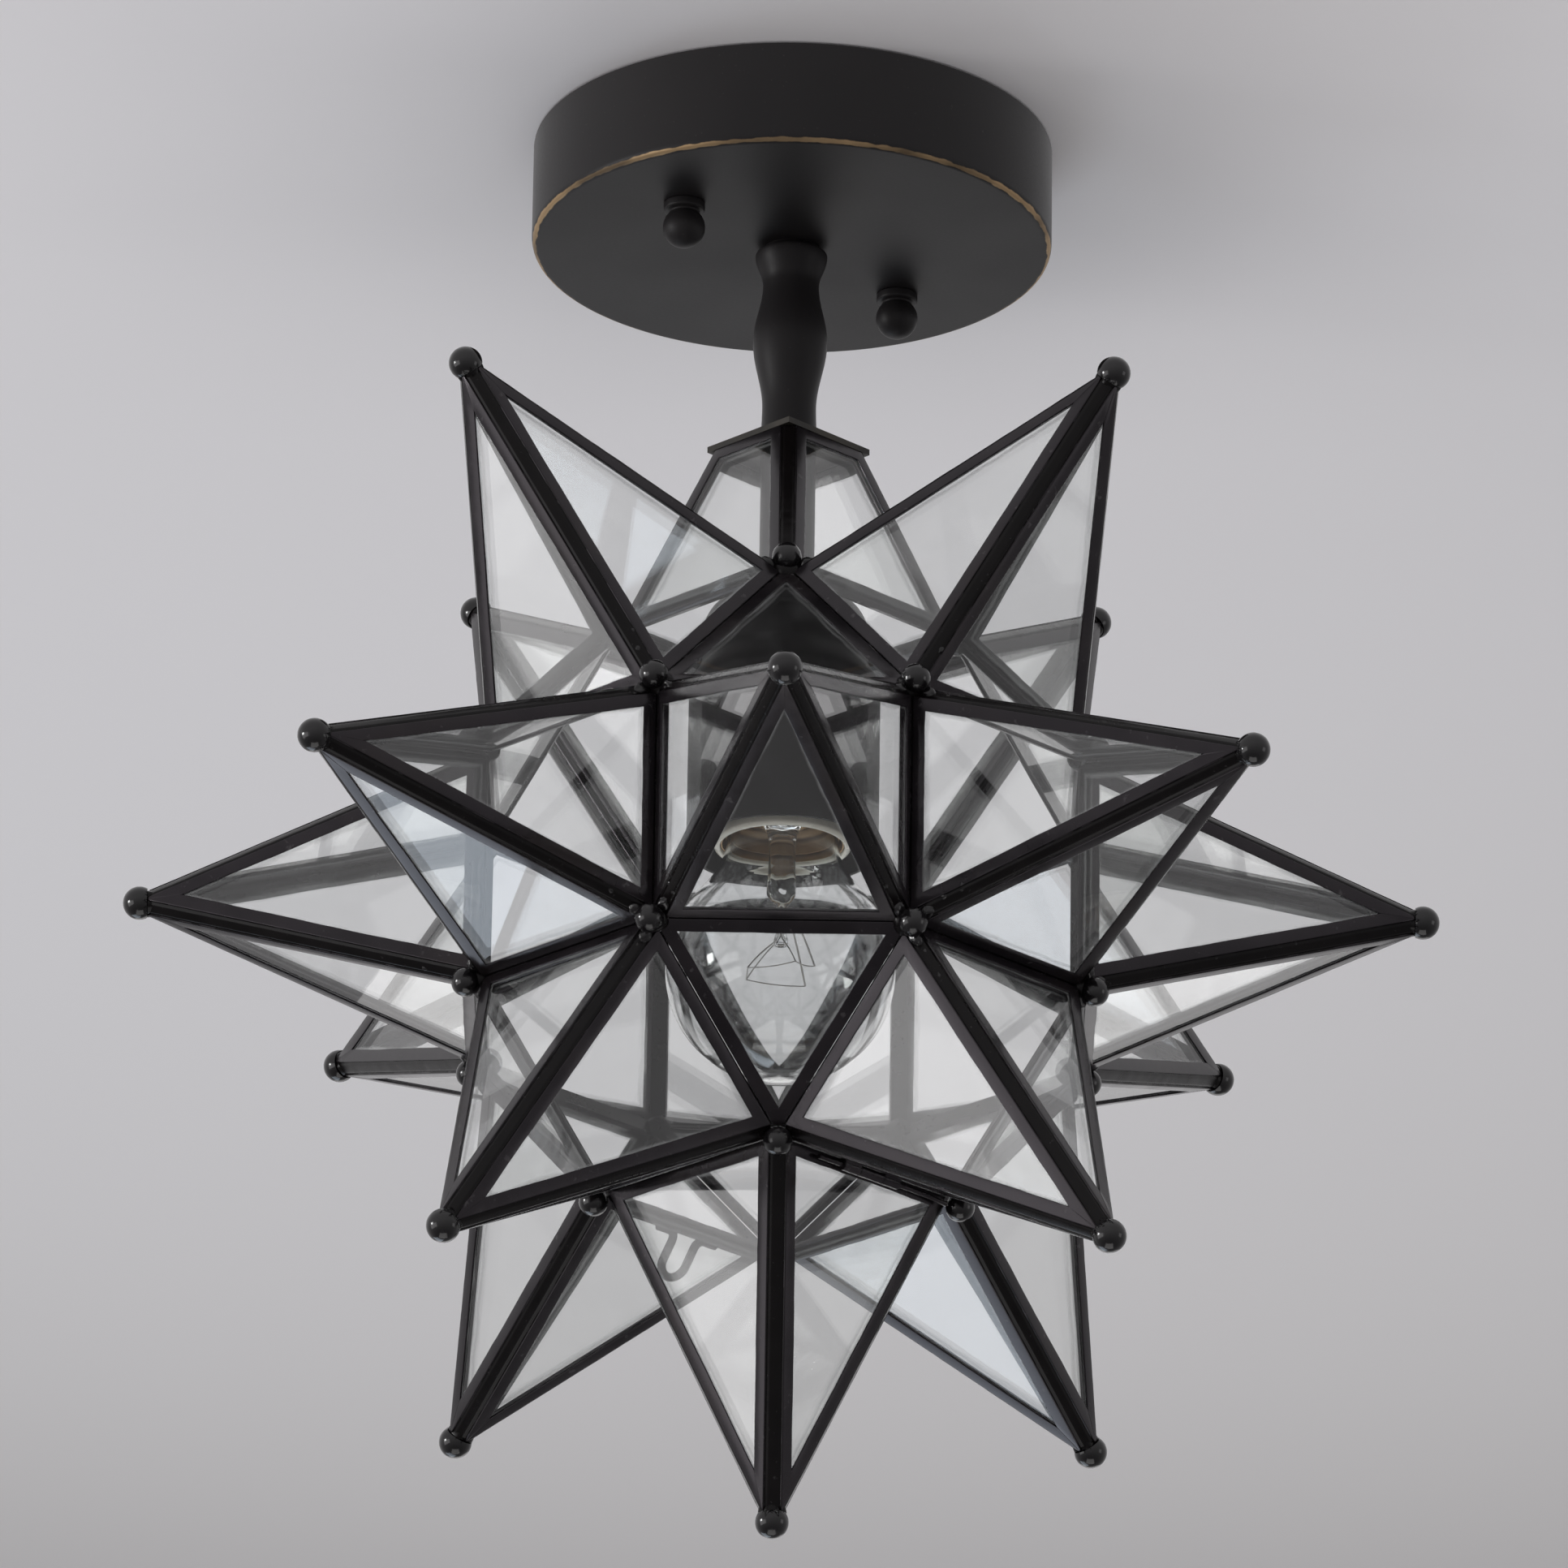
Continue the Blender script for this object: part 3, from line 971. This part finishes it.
dress(came.owner, "door_knuckle", "fixed_knuckles")
SADDLE = np.array([CORE/2*BALL_SCALE, 0, PLANE*BALL_SCALE])
WIRE_R, WIRE_L, BEND_R, SPUR_A, SPUR_L = 0.6, 32.0, 6.0, radians(8), 7.0
bend = np.linspace(0, SPUR_A, 9)[:, None]
run = np.linspace(-WIRE_L/2, WIRE_L/2, 30)[:-1, None]
straight = np.concatenate([0*run, run, 0*run], 1)
arc = np.concatenate([0*bend, WIRE_L/2 + BEND_R*np.sin(bend), BEND_R*(1 - np.cos(bend))], 1)
spur = arc[-1] + np.linspace(0.1, SPUR_L, 8)[:, None]*[0, cos(SPUR_A), sin(SPUR_A)]
pin_path = np.concatenate([straight, arc, spur]) + SADDLE
points, faces = tube(pin_path, WIRE_R, [1, 0, 0], 14)
build("hinge_pin", [(at_point(points, HINGE_SIDE), faces)], came.owner, "fixture", ["hinge_wire"],
      crease=60)

PULL_R, PULL_HALF, PULL_FOOT, FOOT_L = 1.0, 3.5, 2.0, 3.5
PULL_REACH, PULL_LEAN, PULL_UP = 11.2, radians(35), 2.2
leg = PULL_REACH - PULL_HALF - PULL_R - PULL_FOOT
quarter, half_turn = np.linspace(0, pi/2, 12)[:, None], np.linspace(0, pi, 25)[:, None]
foot_y = PULL_HALF + PULL_FOOT
side_path = np.concatenate([
    np.array([[foot_y + FOOT_L, 0], [foot_y + FOOT_L/2, 0]]),
    np.concatenate([foot_y - PULL_FOOT*np.sin(quarter), PULL_FOOT*(1 - np.cos(quarter))], 1),
    np.array([[PULL_HALF, PULL_FOOT + leg/2]])])
loop = np.concatenate([PULL_HALF*np.cos(half_turn), PULL_FOOT + leg + PULL_HALF*np.sin(half_turn)], 1)
loop_path = np.concatenate([side_path, loop, side_path[::-1]*[-1, 1]])
pull_points, faces = tube(np.insert(loop_path, 0, 0, 1), PULL_R, [1, 0, 0], 16)
pull_points = pull_points @ turn_about("y", FACE_TILT + PULL_LEAN).T + [PULL_R + GAP/2, 0, PULL_UP]
pull_points = pull_points @ turn_about("y", -FACE_TILT).T + [CORE/2, 0, PLANE]
build("finger_loop", [(at_point(pull_points, DOOR, 90), faces)], came.owner, "door", ["door_pull"],
      crease=60)
